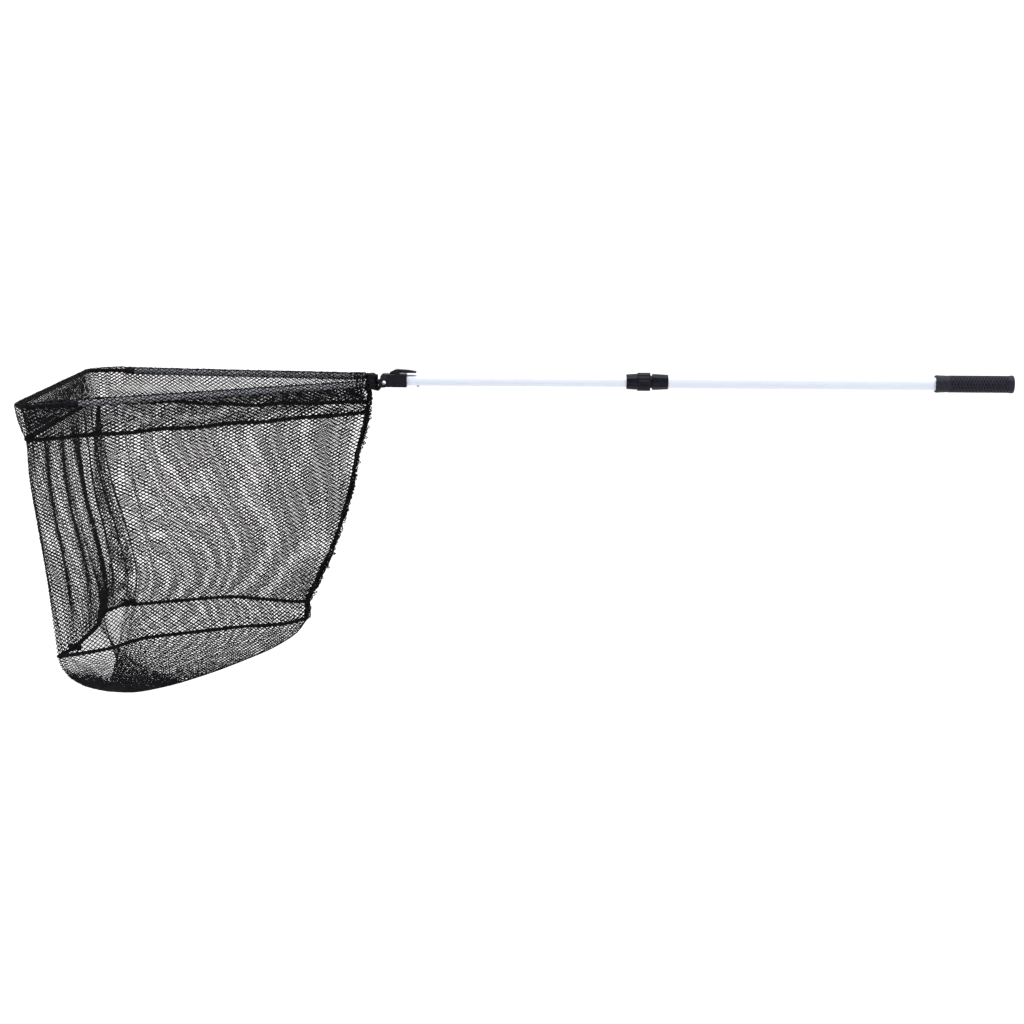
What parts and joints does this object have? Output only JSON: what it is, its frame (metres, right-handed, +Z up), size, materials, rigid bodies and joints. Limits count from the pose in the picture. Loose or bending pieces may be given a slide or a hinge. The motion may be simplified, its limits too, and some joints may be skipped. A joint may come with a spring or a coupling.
{
  "type": "folding landing net",
  "caption": "Folding landing net: a triangular hoop with a deep knotless net bag, on a two-section pole with twist lock, fold head with thumb latch and rubber grip.",
  "frame": {"origin": "centre of the hand grip, on the pole's axis", "axes": "+X along the pole towards the butt, the hoop lies towards -X; +Z up, so the net bag hangs towards -Z; +Y across the hoop"},
  "size_m": [1.3978, 0.4948, 0.4757],
  "materials": {
    "grey_tube": "satin",
    "white_tube": "satin",
    "black_plastic": "satin",
    "black_rubber": "matte",
    "steel": "satin",
    "black_steel": "satin",
    "nylon": "matte",
    "netting": "matte",
    "band_cord": "matte"
  },
  "bodies": {
    "handle": {"outer_tube": "grey_tube", "hand_grip": "black_rubber", "butt_cap": "black_plastic", "lock_body": "black_plastic", "lock_collet": "nylon"},
    "lock_nut": {"lock_nut": "black_plastic"},
    "inner_pole": {"inner_tube": "grey_tube", "inner_bush": "nylon", "head_block": "black_plastic", "fold_pin": "black_steel", "latch_pin": "black_steel", "latch_spring": "steel", "head_rivet": "black_steel"},
    "latch": {"latch_lever": "black_plastic"},
    "hoop_base": {"fold_knuckle": "black_plastic", "lower_washer": "black_plastic", "upper_washer": "black_plastic", "arm_pin": "black_steel", "pin_nut": "black_steel", "front_bow": "black_plastic", "front_net_collar": "netting", "front_net_band": "band_cord", "front_net_wall": "netting", "loop_band": "band_cord", "net_pouch": "netting", "net_seam": "netting"},
    "left_arm": {"left_eye": "black_plastic", "left_tube": "white_tube", "left_rivet": "steel", "left_ferrule": "black_plastic", "left_hem": "netting", "left_net_collar": "netting", "left_net_band": "band_cord", "left_net_wall": "netting"},
    "right_arm": {"right_eye": "black_plastic", "right_tube": "white_tube", "right_rivet": "steel", "right_ferrule": "black_plastic", "right_hem": "netting", "right_net_collar": "netting", "right_net_band": "band_cord", "right_net_wall": "netting"}
  },
  "joints": [
    {"name": "lock_twist", "type": "hinge", "parent": "handle", "child": "lock_nut", "pos_m": [-0.486, 0, 0], "axis": [1, 0, 0], "range_deg": [0, 90]},
    {"name": "pole_slide", "type": "slide", "parent": "handle", "child": "inner_pole", "axis": [1, 0, 0], "range_m": [0, 0.295]},
    {"name": "latch_press", "type": "hinge", "parent": "inner_pole", "child": "latch", "pos_m": [-0.836, 0, 0.012], "axis": [0, 1, 0], "range_deg": [0, 5], "stiffness_Nm_per_rad": 0.6, "springref_deg": -4.58, "deforming": ["latch_spring"]},
    {"name": "hoop_fold", "type": "hinge", "parent": "inner_pole", "child": "hoop_base", "pos_m": [-0.855, 0, 0.0045], "axis": [0, 1, 0], "range_deg": [0, 115]},
    {"name": "left_arm_close", "type": "hinge", "parent": "hoop_base", "child": "left_arm", "pos_m": [-0.87286, 0, -0.00052], "axis": [0.029, 0, -0.9996], "range_deg": [0, 28], "deforming": ["left_net_collar", "left_net_band", "left_net_wall", "front_bow", "front_net_collar", "front_net_band", "front_net_wall", "loop_band", "net_pouch", "net_seam"]},
    {"name": "right_arm_close", "type": "hinge", "parent": "hoop_base", "child": "right_arm", "pos_m": [-0.87286, 0, -0.00052], "axis": [-0.029, 0, 0.9996], "range_deg": [0, 28], "deforming": ["right_net_collar", "right_net_band", "right_net_wall"]}
  ],
  "couplings": [
    {"joint": "right_arm_close", "follows": "left_arm_close", "ratio": 1}
  ]
}
